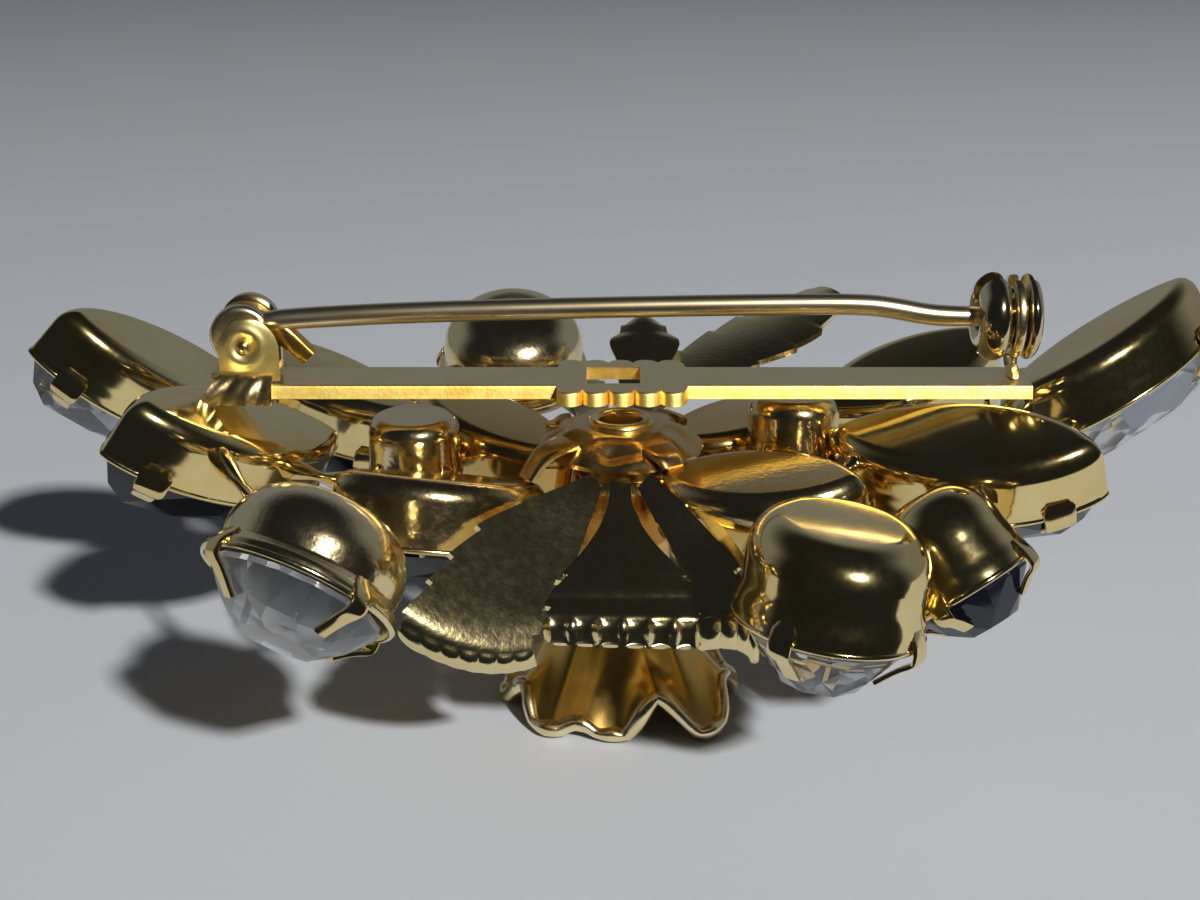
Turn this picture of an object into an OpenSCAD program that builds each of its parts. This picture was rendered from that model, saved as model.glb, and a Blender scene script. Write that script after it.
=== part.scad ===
// Layered flower brooch, lying face down with its pin fitting up.
// Origin: on the surface it lies on, under the centre rivet.
// +Z is the back of the brooch, +X runs from the hinge to the catch, +Y to the far side.

/* [Navette settings] */
// Length of a large navette cup
navette_length = 14.1; // [13.8:0.1:14.3]
// Width of a large navette cup
navette_width = 6.6; // [6.4:0.1:6.8]
// Depth of a large navette cup
navette_depth = 3.5; // [3.3:0.1:3.6]
// Length of an inner navette cup
inner_length = 11.2; // [10.8:0.1:11.4]
// Width of an inner navette cup
inner_width = 6.2; // [5.8:0.1:6.4]
// Depth of an inner navette cup
inner_depth = 3.6; // [3.4:0.1:3.8]
// How pointed the navette ends are, 0 for an ellipse
navette_point = 0.45; // [0.3:0.05:0.6]

/* [Round settings] */
// Diameter of the round cups at the left and the back
round_diameter = 9.3; // [9:0.1:9.5]
// Depth of the round cups at the left and the back
round_depth = 4.5; // [4.3:0.1:4.6]
// Diameter of the deep round cup at the front
deep_diameter = 8.9; // [8.7:0.1:9.1]
// Depth of the deep round cup at the front
deep_depth = 4.9; // [4.7:0.1:5]
// Diameter of the small dark round cup
dark_round_diameter = 6.9; // [6.6:0.1:7]
// Depth of the small dark round cup
dark_round_depth = 5; // [4.8:0.1:5.1]
// Diameter of the two little cups beside the hub
little_diameter = 5; // [4.8:0.1:5.2]
// Depth of the two little cups beside the hub
little_depth = 3.2; // [3:0.1:3.4]

/* [Cup metal and prongs] */
// Thickness of a cup's wall and floor
cup_wall = 0.38; // [0.32:0.02:0.44]
// Gap between a stone and its cup
stone_gap = 0.08; // [0.06:0.01:0.12]
// Thickness of a prong
prong_thickness = 0.3; // [0.24:0.02:0.36]

/* [Hub and arms] */
// Radius of the hub plate
hub_radius = 4.2; // [3.8:0.1:4.6]
// Thickness of the hub plate and its straps
hub_thickness = 0.7; // [0.6:0.05:0.8]
// Height of the hub plate's underside
hub_z = 15.2; // [15.1:0.05:15.4]
// Radius of the hole in the hub plate
hub_hole_radius = 1.4; // [1.3:0.05:1.5]
// Width of a strap from the hub to a cup
strap_width = 1.6; // [1.2:0.1:2]

/* [Leaves] */
// Thickness of the stamped leaf plate
leaf_thickness = 0.8; // [0.7:0.05:0.9]
// Height of the leaf plate's underside at the middle
leaf_z = 13.6; // [13.5:0.05:13.8]
// Width of the leaf plate's middle strip
leaf_strip_width = 3.2; // [3:0.1:3.4]
// Length of the leaf plate's middle strip
leaf_strip_length = 9.6; // [9:0.1:10]

/* [Flower] */
// Radius of the flower at its rim
flower_radius = 6.1; // [5.8:0.1:6.2]
// Height of the flower from rim to floor
flower_height = 13.4; // [13:0.1:13.5]
// Wall thickness of the flower
flower_wall = 0.7; // [0.6:0.05:0.8]
// How far the rim waves in and out
flower_ruffle = 0.7; // [0.4:0.05:0.8]

/* [Pin bar] */
// Length of the pin bar
bar_length = 42; // [41:0.5:43]
// Width of the pin bar
bar_width = 3.6; // [3.4:0.1:3.8]
// Thickness of the pin bar
bar_thickness = 0.7; // [0.6:0.05:0.8]
// Height of the bar's underside
bar_z = 17.75; // [17.7:0.05:17.8]
// Width of the scalloped middle of the bar
bar_middle_width = 6.2; // [5.8:0.1:6.6]
// Length of the scalloped middle of the bar
bar_middle_length = 6.6; // [6.2:0.1:7]

/* [Pin and hinge] */
// Diameter of the pin wire
wire_diameter = 1.1; // [1:0.05:1.15]
// Distance from the bar's middle to the hinge rivet
hinge_x = 19.5; // [19.2:0.1:19.8]
// Height of the hinge rivet
hinge_z = 20.65; // [20.6:0.05:20.75]
// Diameter of the hinge rivet
hinge_rivet_diameter = 0.9; // [0.8:0.05:1]
// Thickness of a hinge ear
ear_thickness = 0.5; // [0.45:0.05:0.6]
// Gap between the hinge ears
ear_gap = 1.6; // [1.5:0.05:1.7]

/* [Catch] */
// Distance from the bar's middle to the catch post
catch_x = 20.1; // [20:0.1:20.3]
// Thickness of the catch post
catch_thickness = 0.9; // [0.8:0.05:1]
// Height of the closed pin in the catch
catch_z = 21.65; // [21.6:0.05:21.7]
// Radius of the roller's flanges
roller_radius = 2.25; // [2.1:0.05:2.3]

/* [Hidden] */
fine = 48;
around = 16;
petal_steps = 48;
lobes = 6;
clearance = 0.05;
leaf_disc_radius = 2.4;
rivet_bore = 1.1;
rivet_lip = 1.75;
lip_height = 0.3;
foot_thickness = 0.4;
solder_size = 0.7;
solder_outset = 0.2;
prong_rise = 0.8;
prong_roll = 0.35;
prong_end_gap = 0.54;
table_share = 0.48;
point_share = 0.6;
point_gap = 0.5;
girdle = 0.25;
girdle_gap = 0.1;
strap_inset = 1.3;
strap_end = 0.6;
strap_land = 0.4;
bar_hole = [2.8, 2.9];
bar_hole_corner = [-1.8, -1.3];
hinge_foot = 3.4;
ear_radius = 1.5;
rivet_head_radius = 0.8;
rivet_head = 0.3;
tang = [3.8, 0.9, 0.5];
tang_slope = 38;
catch_foot = [2, 3.2];
catch_ring_radius = 2.05;
catch_neck = 2.4;
eye_radius = 1.65;
roller_hub = 1.5;
roller_bore = 0.75;
slot_width = 1.3;
flange = 1.1;

// Sizes of each kind of setting: half length, half width, end point, cup depth,
// crown height over the rim, prong width, how far the rounded edge of the back draws in,
// how far down the wall that rounding runs, and how far round the prongs are turned
HALF_L = 0; HALF_W = 1; POINT = 2; DEPTH = 3; CROWN = 4; PRONG_W = 5; EDGE = 6; KNEE = 7; TURN = 8;
LARGE = [navette_length / 2, navette_width / 2, navette_point, navette_depth, 2.5, 1.7, 1.3, 1.2, 0];
INNER = [inner_length / 2, inner_width / 2, navette_point, inner_depth, 1.4, 1.2, 1.1, 1.1, 0];
ROUND = [round_diameter / 2, round_diameter / 2, 0, round_depth, 2.3, 1, 3.1, 2.8, 25];
DEEP = [deep_diameter / 2, deep_diameter / 2, 0, deep_depth, 2.8, 1.2, 1.9, 1.8, 62];
DARK = [dark_round_diameter / 2, dark_round_diameter / 2, 0, dark_round_depth, 1.9, 1, 2.5, 2.7, 50];
LITTLE = [little_diameter / 2, little_diameter / 2, 0, little_depth, 0.9, 0.8, 0.8, 0.9, 0];

// Where each setting sits: name, kind, centre x, y, z, the way its outer end points,
// how much that end is raised, how much it is rolled, and the stone's colour
NAME = 0; KIND = 1; PX = 2; PY = 3; PZ = 4; HEADING = 5; TILT = 6; ROLL = 7; GLASS = 8;
clear = "gainsboro";
black = "midnightblue";
SETTINGS = [
    ["stone_far_left", LARGE, -26, 6.8, 16.3, 217.1, 32.6, -24.4, clear],
    ["stone_left", LARGE, -20.35, -1.0, 15.15, 227.7, 20.9, -25, black],
    ["stone_front_left", ROUND, -13.7, -14.15, 14.7, 240, 47.5, 0, clear],
    ["stone_inner_left", INNER, -9.1, -5.3, 13.0, 195, 10, 14, black],
    ["stone_front_right", DEEP, 9.55, -14, 13.55, 218, 9.5, 0, clear],
    ["stone_dark_right", DARK, 15.15, -9.8, 13.1, -38, 42, 0, black],
    ["stone_right", LARGE, 17.15, -4.05, 15.3, -24.1, 5, 20.7, black],
    ["stone_far_right", LARGE, 27.1, 6.4, 17.3, 21.5, 26.8, -15, clear],
    ["stone_inner_right", INNER, 6.9, -5.4, 13.5, -20, 6, 10, black],
    ["stone_back_middle", ROUND, -6.4, 15.9, 15.7, 97, 21, 0, clear],
    ["stone_back_left", LARGE, -17.4, 11.8, 13.5, 150, 14, 0, black],
    ["stone_back_right", LARGE, 17.4, 13.2, 13.6, 25, 14, 14, black],
    ["stone_inner_back_left", INNER, -7.1, 4.3, 13.2, 145, 12, 0, black],
    ["stone_inner_back_right", INNER, 6.8, 4.8, 13.1, 30, 6, 0, black],
    ["stone_little_left", LITTLE, -10.9, 0.3, 14.6, 180, 0, 0, clear],
    ["stone_little_right", LITTLE, 9.1, 0.5, 15.5, -90, 8, 0, clear],
];

// Angles round a setting's outline where its prongs stand
PRONG_ANGLES = [45, 135, 225, 315];

// Rows of the settings that are soldered wall to wall, and those held by a strap of the hub
JOINED = [[0, 10], [0, 1], [1, 3], [2, 3], [2, 1], [3, 14], [14, 12], [10, 12], [9, 10], [4, 8], [4, 5],
          [5, 6], [6, 8], [6, 15], [15, 13], [13, 11], [7, 6], [7, 11]];
STRAPPED = [3, 8, 12, 13];

// Straight leaves: the way each points, how far it reaches, the height of its shoulder,
// its half width there, and the depth of its turned-down end
LEAF_HEADING = 0; LEAF_REACH = 1; LEAF_Z = 2; LEAF_HALF_W = 3; LEAF_LIP = 4;
LEAVES = [
    [-86, 11.6, 10.2, 3.7, 2.4],
    [82, 14.2, 17.4, 2.3, 0.8],
    [107, 11.2, 15.4, 2.2, 0.8],
];

// Leaves on the slant, each as cross-lines from its upper to its lower edge
SLANTED_LEAVES = [
    [
        [[-1.5, -4.4, 14.3], [-0.7, -4.9, 13.9]],
        [[-4.4, -7.5, 14.4], [-2.3, -8, 11.9]],
        [[-6.8, -9.2, 14.3], [-3.3, -9.6, 10.2]],
        [[-8.6, -11.7, 12.4], [-4.3, -11.9, 8.7]],
        [[-9.4, -13.1, 9.7], [-7, -13.1, 8.2]],
    ],
    [
        [[1.5, -4.4, 14.3], [0.7, -4.9, 13.9]],
        [[3.6, -7.6, 13.9], [2.3, -8, 11.9]],
        [[4.4, -9, 12], [3.3, -9.6, 10.2]],
        [[6, -10, 8.9], [4.3, -11, 8.2]],
        [[8.2, -11, 8.1], [7, -12, 7.4]],
    ],
    [
        [[0.2, 4.6, 13.7], [1.5, 4.2, 13.7]],
        [[1, 8.7, 14.6], [3.2, 7.9, 14.4]],
        [[3.5, 12.5, 15.8], [7.3, 10, 15.4]],
        [[8.5, 16.5, 17.3], [11.5, 11.9, 16.6]],
        [[12.6, 18.4, 18.2], [14, 15.8, 18]],
    ],
];

// Points of a closed outline: an ellipse whose ends are drawn out to a blunt point
function outline(half_l, half_w, point, z) =
    [for (i = [0:around - 1]) let (t = 360 * i / around, s = sin(t))
        [half_l * cos(t), half_w * s * pow(abs(s), point), z]];

// One ring of a setting, drawn in from its rim by inset, at height z
function ring(kind, inset, z) = outline(kind[HALF_L] - inset, kind[HALF_W] - inset, kind[POINT], z);

// Solid through a stack of rings, the first one uppermost, closed at both ends
module loft(rings) {
    n = len(rings[0]);
    last = len(rings) - 1;
    sides = [for (k = [0:last - 1], i = [0:n - 1]) let (j = (i + 1) % n, a = k * n, b = a + n)
        each [[a + i, a + j, b + j], [a + i, b + j, b + i]]];
    top = [[for (i = [n - 1:-1:0]) i]];
    bottom = [[for (i = [0:n - 1]) last * n + i]];
    polyhedron([for (r = rings) each r], concat(top, sides, bottom), convexity = 4);
}

// Moves a shape from a setting's own frame to its place on the brooch
module at_setting(s) {
    translate([s[PX], s[PY], s[PZ]]) rotate([0, 0, s[HEADING]]) rotate([0, -s[TILT], 0])
        rotate([s[ROLL], 0, 0]) children();
}

// Profile of a cup's rounded edge, from the flat back to the wall. Columns of a row:
// part of the draw-in, part of the rounding's height, wall thickness sideways and downward
CUP_ROWS = [
    [1, 0, 0.6, 1],
    [0.5, 0.18, 0.8, 1.1],
    [0.2, 0.58, 1.05, 0.8],
    [0.12, 1, 1, 0.25],
];
knee_draw = CUP_ROWS[3][0];

// Stamped cup: flat back up, well rounded edge, wall that widens a little to the open rim
module cup(kind) {
    top = kind[DEPTH] / 2;
    last = len(CUP_ROWS) - 1;
    outer = [for (r = CUP_ROWS) ring(kind, r[0] * kind[EDGE], top - r[1] * kind[KNEE])];
    inner = [for (i = [last:-1:0]) let (r = CUP_ROWS[i])
        ring(kind, r[0] * kind[EDGE] + r[2] * cup_wall, top - r[1] * kind[KNEE] - r[3] * cup_wall)];
    loft(concat(outer, [ring(kind, 0, -top), ring(kind, cup_wall, -top)], inner));
}

// How far a stone's crown stands out past the rim, at a point drawn in by inset
function crown_at(kind, inset) =
    let (low = cup_wall + stone_gap + girdle_gap, table = cup_wall + stone_gap + kind[HALF_W] * table_share)
    girdle + (kind[CROWN] - girdle) * (inset - low) / (table - low);

// Prong: up the outside of the wall, round the rim and in over the stone's crown
module prong(kind, angle) {
    half_l = kind[HALF_L];
    half_w = kind[HALF_W];
    foot = half_w * sin(angle) * pow(abs(sin(angle)), kind[POINT]);
    slope = [-half_l * sin(angle), half_w * cos(angle) * (1 + kind[POINT])];
    out = atan2(-slope[0], slope[1]);
    rim = -kind[DEPTH] / 2;
    reach = half_w * 0.36;
    end = -crown_at(kind, reach) - prong_end_gap;
    translate([half_l * cos(angle), foot, rim]) rotate([0, 0, out]) {
        hull() {
            slab(-prong_thickness / 2, prong_rise, kind[PRONG_W]);
            slab(0, -prong_roll, kind[PRONG_W]);
        }
        hull() {
            slab(0, -prong_roll, kind[PRONG_W]);
            slab(-reach, end, kind[PRONG_W] * 0.7);
        }
    }
}

// Thin flat slice of a prong: its inner face at x, its lower face at z
module slab(x, z, width) {
    translate([x, -width / 2, z]) cube([prong_thickness, width, 0.05]);
}

function turn_x(p, a) = [p[0], p[1] * cos(a) - p[2] * sin(a), p[1] * sin(a) + p[2] * cos(a)];
function turn_y(p, a) = [p[0] * cos(a) + p[2] * sin(a), p[1], p[2] * cos(a) - p[0] * sin(a)];
function turn_z(p, a) = [p[0] * cos(a) - p[1] * sin(a), p[0] * sin(a) + p[1] * cos(a), p[2]];

// A point of a setting's own frame, at its place on the brooch
function placed(s, p) =
    [s[PX], s[PY], s[PZ]] + turn_z(turn_y(turn_x(p, s[ROLL]), -s[TILT]), s[HEADING]);

// Points just outside a cup's wall, low, middle and high, where solder may sit
function wall_points(s) =
    let (
        kind = s[KIND],
        top = kind[DEPTH] / 2,
        high = top - kind[KNEE],
        draw = knee_draw * kind[EDGE] / (high + top)
    )
    [for (z = [0.6 - top, (high - top) / 2, high], p = ring(kind, draw * (z + top) - solder_outset, z))
        placed(s, p)];

// The two points, one of each list, that lie nearest to each other
function nearest(a, b) =
    let (
        d = [for (p = a, q = b) norm(p - q)],
        i = search(min(d), d)[0]
    )
    [a[floor(i / len(b))], b[i % len(b)]];

// Bead of solder that bridges two cups where their walls come nearest
module solder(a, b) {
    hull() for (p = nearest(wall_points(a), wall_points(b))) translate(p) cube(solder_size, center = true);
}

// Strap from the hub plate's edge down to the inner end of a cup's base
module strap(s) {
    kind = s[KIND];
    foot = [strap_inset - kind[HALF_L], 0, kind[DEPTH] / 2];
    end = placed(s, foot);
    aim = atan2(end[1], end[0]);
    hull() {
        rotate([0, 0, aim]) translate([hub_radius - 0.9, -strap_width / 2, hub_z + 0.1])
            cube([strap_end, strap_width, hub_thickness - 0.2]);
        at_setting(s) translate(foot) cube([strap_end, strap_width / 2, strap_land], center = true);
    }
}

module setting_frame() {
    color("darkkhaki") {
        for (s = SETTINGS) {
            at_setting(s) {
                cup(s[KIND]);
                for (angle = PRONG_ANGLES) prong(s[KIND], angle + s[KIND][TURN]);
            }
        }
        for (j = JOINED) solder(SETTINGS[j[0]], SETTINGS[j[1]]);
        for (i = STRAPPED) strap(SETTINGS[i]);
        translate([0, 0, hub_z]) difference() {
            cylinder(r = hub_radius, h = hub_thickness, $fn = 32);
            translate([0, 0, -1]) cylinder(r = hub_hole_radius, h = 3, $fn = 32);
        }
    }
}

// Glass stone: foiled point hidden in the cup, girdle at the rim, crown and flat table outside
module stone(s) {
    kind = s[KIND];
    top = kind[DEPTH] / 2;
    inset = cup_wall + stone_gap;
    low = inset + girdle_gap;
    color(s[GLASS]) at_setting(s) loft([
        ring(kind, kind[HALF_W] * point_share, top - cup_wall - point_gap),
        ring(kind, low + knee_draw * kind[EDGE], top - kind[KNEE] - girdle),
        ring(kind, low, -top),
        ring(kind, low, -top - girdle),
        ring(kind, inset + kind[HALF_W] * table_share, -top - kind[CROWN]),
    ]);
}

// Sections of a straight leaf, from the plate's end to its shoulder.
// Columns of a row: part of the reach, part of the half width, part of the fall
LEAF_ROWS = [
    [0, 0.3, 0],
    [0.18, 0.34, 0.05],
    [0.42, 0.62, 0.25],
    [0.7, 0.86, 0.6],
    [0.97, 1, 1],
];

// Cross-lines of a straight leaf: left edge, right edge, with the turned-down end as the last one
function straight_leaf(leaf) =
    let (
        root = leaf_strip_length / 2 - 0.9,
        run = leaf[LEAF_REACH] - root,
        fall = leaf[LEAF_Z] - leaf_z - leaf_thickness,
        rows = [for (r = LEAF_ROWS) [root + run * r[0], leaf[LEAF_HALF_W] * r[1], leaf_z + fall * r[2]]],
        end = [leaf[LEAF_REACH] + 0.5, leaf[LEAF_HALF_W] * 0.96, leaf_z + fall - leaf[LEAF_LIP]]
    )
    [for (r = concat(rows, [end]))
        [for (side = [-1, 1]) turn_z([r[0], side * r[1], r[2]], leaf[LEAF_HEADING])]];

// Sheet through two neighbouring cross-lines, thickened upward and toward its outer face
module sheet(a, b, rise) {
    corners = concat(a, b);
    hull() polyhedron(
        [for (p = corners) each [p, p + rise]],
        [for (i = [0:5]) [i, i + 1, i + 2]]
    );
}

module leaf(lines, rise) {
    for (k = [0:len(lines) - 2]) sheet(lines[k], lines[k + 1], rise);
}

module leaf_plate() {
    color("olive") difference() {
        union() {
            translate([-leaf_strip_width / 2, -leaf_strip_length / 2, leaf_z])
                cube([leaf_strip_width, leaf_strip_length, leaf_thickness]);
            translate([0, 0, leaf_z]) cylinder(r = leaf_disc_radius, h = leaf_thickness, $fn = fine);
            for (l = LEAVES) leaf(straight_leaf(l), turn_z([0.4, 0, leaf_thickness - 0.1], l[LEAF_HEADING]));
            for (lines = SLANTED_LEAVES) leaf(lines, [0, -0.5, 0.3]);
        }
        translate([0, 0, leaf_z - 1]) cylinder(r = hub_hole_radius, h = 4, $fn = fine);
    }
}

// Flower: a narrow neck that opens into a trumpet with a ruffled rim.
// Columns of a row: height, outer radius, share of the ruffle
neck_radius = 2.55;
FLOWER_ROWS = [
    [flower_height, neck_radius, 0],
    [10.6, 2.6, 0],
    [9.2, 2.65, 0],
    [7.6, 2.85, 0.1],
    [5.4, 3.5, 0.25],
    [2.6, 0.8 * flower_radius, 0.65],
    [0, flower_radius, 1],
];

function petal_ring(row, inset, rise) =
    [for (i = [0:petal_steps - 1]) let (
        t = 360 * i / petal_steps,
        wave = sin(lobes * t),
        r = row[1] - inset + flower_ruffle * row[2] * wave,
        lift = 0.9 * row[2] * row[2] * (1 - wave)
    ) [r * cos(t), r * sin(t), row[0] + lift + rise]];

module flower() {
    last = len(FLOWER_ROWS) - 1;
    color("goldenrod") difference() {
        loft(concat(
            [for (row = FLOWER_ROWS) petal_ring(row, 0, 0)],
            [for (k = [last:-1:1]) petal_ring(FLOWER_ROWS[k], flower_wall, k == last ? 0.15 : 0)],
            [petal_ring([flower_height - flower_wall, neck_radius, 0], flower_wall, 0)]
        ));
        translate([0, 0, flower_height - 2]) cylinder(r = hub_hole_radius, h = 4, $fn = fine);
    }
}

// Tubular rivet with a rolled lip at each end, holding flower, leaf plate and hub plate
module centre_rivet() {
    low = flower_height - flower_wall - clearance;
    high = hub_z + hub_thickness + clearance;
    color("gold") rotate_extrude($fn = fine) polygon([
        [rivet_bore, low - lip_height],
        [rivet_lip, low - lip_height],
        [rivet_lip, low],
        [hub_hole_radius - clearance, low],
        [hub_hole_radius - clearance, high],
        [rivet_lip, high],
        [rivet_lip, high + lip_height],
        [rivet_bore, high + lip_height],
    ]);
}

// Flat bar with a scalloped middle and a square hole through it
module pin_bar() {
    scallops = 5;
    pitch = bar_middle_length / scallops;
    color("khaki") translate([0, 0, bar_z]) difference() {
        linear_extrude(bar_thickness) {
            square([bar_length, bar_width], center = true);
            square([bar_middle_length, bar_middle_width - pitch], center = true);
            for (side = [-1, 1], i = [0:scallops - 1])
                translate([(i - (scallops - 1) / 2) * pitch, side * (bar_middle_width - pitch) / 2])
                    circle(d = pitch, $fn = fine);
        }
        translate([bar_hole_corner[0], bar_hole_corner[1], -1]) cube([bar_hole[0], bar_hole[1], 3]);
    }
}

// Cylinder lying along Y, centred on the XZ plane
module along_y(x, z, r, length) {
    translate([x, length / 2, z]) rotate([90, 0, 0]) cylinder(r = r, h = length, $fn = fine);
}

// Cylinder lying along X from x0
module along_x(x0, z, r, length) {
    translate([x0, 0, z]) rotate([0, 90, 0]) cylinder(r = r, h = length, $fn = fine);
}

// Bent sheet with two round-topped ears, the far one a little taller
module hinge_bracket() {
    foot_z = bar_z + bar_thickness + clearance;
    near_y = -ear_gap / 2 - ear_thickness;
    color("khaki") difference() {
        union() {
            translate([-hinge_x - hinge_foot / 2, near_y, foot_z])
                cube([hinge_foot, ear_gap + 2 * ear_thickness, foot_thickness]);
            for (side = [-1, 1]) {
                tall = side > 0 ? 0.5 : 0;
                translate([-hinge_x - ear_radius, side > 0 ? ear_gap / 2 : near_y, foot_z])
                    cube([2 * ear_radius, ear_thickness, hinge_z + tall - foot_z]);
                translate([0, side * (ear_gap + ear_thickness) / 2, 0])
                    along_y(-hinge_x, hinge_z + tall, ear_radius, ear_thickness);
            }
        }
        along_y(-hinge_x, hinge_z, hinge_rivet_diameter / 2 + clearance, 8);
    }
}

module hinge_rivet() {
    grip = ear_gap + 2 * ear_thickness + 2 * clearance;
    color("gold") {
        along_y(-hinge_x, hinge_z, hinge_rivet_diameter / 2, grip + 0.5);
        for (side = [-1, 1])
            translate([0, side * (grip + rivet_head) / 2, 0])
                along_y(-hinge_x, hinge_z, rivet_head_radius, rivet_head);
    }
}

// Pin wire from the hinge eye over its long bend to the catch and its point.
// Columns of a row: x, z, radius
STEM_ROWS = [
    [-19.3, 21.05, 0.45],
    [-18.4, 21.3, 0.5],
    [-17, 21.55, 0.5],
    [-10, 21.9, 0.5],
    [0, 22.15, 0.5],
    [9, 22.3, 0.5],
    [12.4, 22.28, 0.5],
    [13.9, 22.1, 0.5],
    [15.6, 21.75, 0.5],
    [16.9, catch_z, 0.5],
    [20.1, catch_z, 0.45],
    [22.2, catch_z, 0.1],
];

function stem_ring(row) =
    [for (i = [0:around - 1]) let (t = 360 * i / around, r = row[2] * wire_diameter)
        [row[0], -r * cos(t), row[1] + r * sin(t)]];

// Pointed wire with a flattened eye and a stop tang under it
module pin_stem() {
    color("silver") difference() {
        union() {
            along_y(-hinge_x, hinge_z, eye_radius, wire_diameter);
            loft([for (row = STEM_ROWS) stem_ring(row)]);
            translate([0.7 - hinge_x, -tang[1] / 2, hinge_z + 0.75]) rotate([0, tang_slope, 0]) cube(tang);
        }
        along_y(-hinge_x, hinge_z, hinge_rivet_diameter / 2 + clearance, 8);
    }
}

// Post with a round seat for the roller, open at the top so that the wire can leave
module catch_post() {
    foot_z = bar_z + bar_thickness + clearance;
    seat = roller_hub + clearance;
    half = catch_thickness / 2;
    color("khaki") difference() {
        union() {
            translate([catch_x + half - catch_foot[0], -catch_foot[1] / 2, foot_z])
                cube([catch_foot[0], catch_foot[1], foot_thickness]);
            translate([catch_x - half, -catch_neck / 2, foot_z])
                cube([catch_thickness, catch_neck, catch_z - foot_z]);
            along_x(catch_x - half, catch_z, catch_ring_radius, catch_thickness);
        }
        along_x(catch_x - 3, catch_z, seat, 6);
        translate([catch_x - 3, -slot_width / 2, catch_z]) cube([6, slot_width, 6]);
    }
}

// Slotted roller: a tube in the post's seat with a flange on each side
module catch_roller() {
    half = catch_thickness / 2 + clearance;
    color("gold") difference() {
        union() {
            along_x(catch_x - half - 0.1, catch_z, roller_hub, 2 * half + 0.2);
            for (side = [-1, 1])
                along_x(side < 0 ? catch_x - half - flange : catch_x + half, catch_z, roller_radius, flange);
        }
        along_x(catch_x - 3, catch_z, roller_bore, 6);
        translate([catch_x - 3, -slot_width / 2, catch_z]) cube([6, slot_width, 6]);
    }
}

setting_frame();
for (s = SETTINGS) {
    stone(s);
}
leaf_plate();
flower();
centre_rivet();
pin_bar();
hinge_bracket();
hinge_rivet();
pin_stem();
catch_post();
catch_roller();
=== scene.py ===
"""Layered costume brooch lying face down: stone cups, leaves and a ruffled flower, its pin fitting up."""
from math import radians

import bmesh
import bpy
import numpy as np
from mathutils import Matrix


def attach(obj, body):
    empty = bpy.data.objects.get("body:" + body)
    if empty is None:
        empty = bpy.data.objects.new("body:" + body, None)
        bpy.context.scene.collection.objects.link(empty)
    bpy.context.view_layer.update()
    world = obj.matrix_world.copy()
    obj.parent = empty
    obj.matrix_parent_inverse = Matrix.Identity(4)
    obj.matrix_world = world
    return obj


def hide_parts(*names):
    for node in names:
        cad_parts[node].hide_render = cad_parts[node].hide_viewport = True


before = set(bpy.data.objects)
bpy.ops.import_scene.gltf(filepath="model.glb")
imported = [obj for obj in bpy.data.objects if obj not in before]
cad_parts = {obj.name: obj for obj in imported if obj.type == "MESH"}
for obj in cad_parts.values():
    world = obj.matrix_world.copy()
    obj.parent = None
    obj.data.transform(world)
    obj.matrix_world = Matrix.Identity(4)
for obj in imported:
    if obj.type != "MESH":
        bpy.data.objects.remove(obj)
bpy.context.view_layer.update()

# Stamped cups: long pointed navettes and rounds, each pressed from thin brass sheet with a flat back,
# a rounded edge and an upright wall, plated pale gold and soldered wall to wall into one frame.
# Sizes and places are in millimetres. A cup's own frame has its length on X and its flat back on +Z.
MM = 0.001
LARGE = {"half_l": 7.05, "half_w": 3.3, "point": 0.45, "depth": 3.5, "crown": 2.5, "prong": 1.7, "edge": 1.3,
         "knee": 1.2, "flare": 0.1, "turn": 0}
INNER = {"half_l": 5.6, "half_w": 3.1, "point": 0.45, "depth": 3.6, "crown": 1.4, "prong": 1.2, "edge": 1.1,
         "knee": 1.1, "flare": 0.1, "turn": 0}
ROUND = {"half_l": 4.65, "half_w": 4.65, "point": 0.0, "depth": 4.5, "crown": 2.3, "prong": 1.0, "edge": 3.1,
         "knee": 2.8, "flare": 0.45, "turn": 25}
DEEP = {"half_l": 4.45, "half_w": 4.45, "point": 0.0, "depth": 4.9, "crown": 2.8, "prong": 1.2, "edge": 1.9,
        "knee": 1.8, "flare": 0.3, "turn": 62, "lean": 0.1}
DARK = {"half_l": 3.45, "half_w": 3.45, "point": 0.0, "depth": 5.0, "crown": 1.9, "prong": 1.0, "edge": 2.5,
        "knee": 2.7, "flare": 0.2, "turn": 50}
LITTLE = {"half_l": 2.5, "half_w": 2.5, "point": 0.0, "depth": 3.2, "crown": 0.9, "prong": 0.8, "edge": 0.8,
          "knee": 0.9, "flare": 0.1, "turn": 0}

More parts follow.
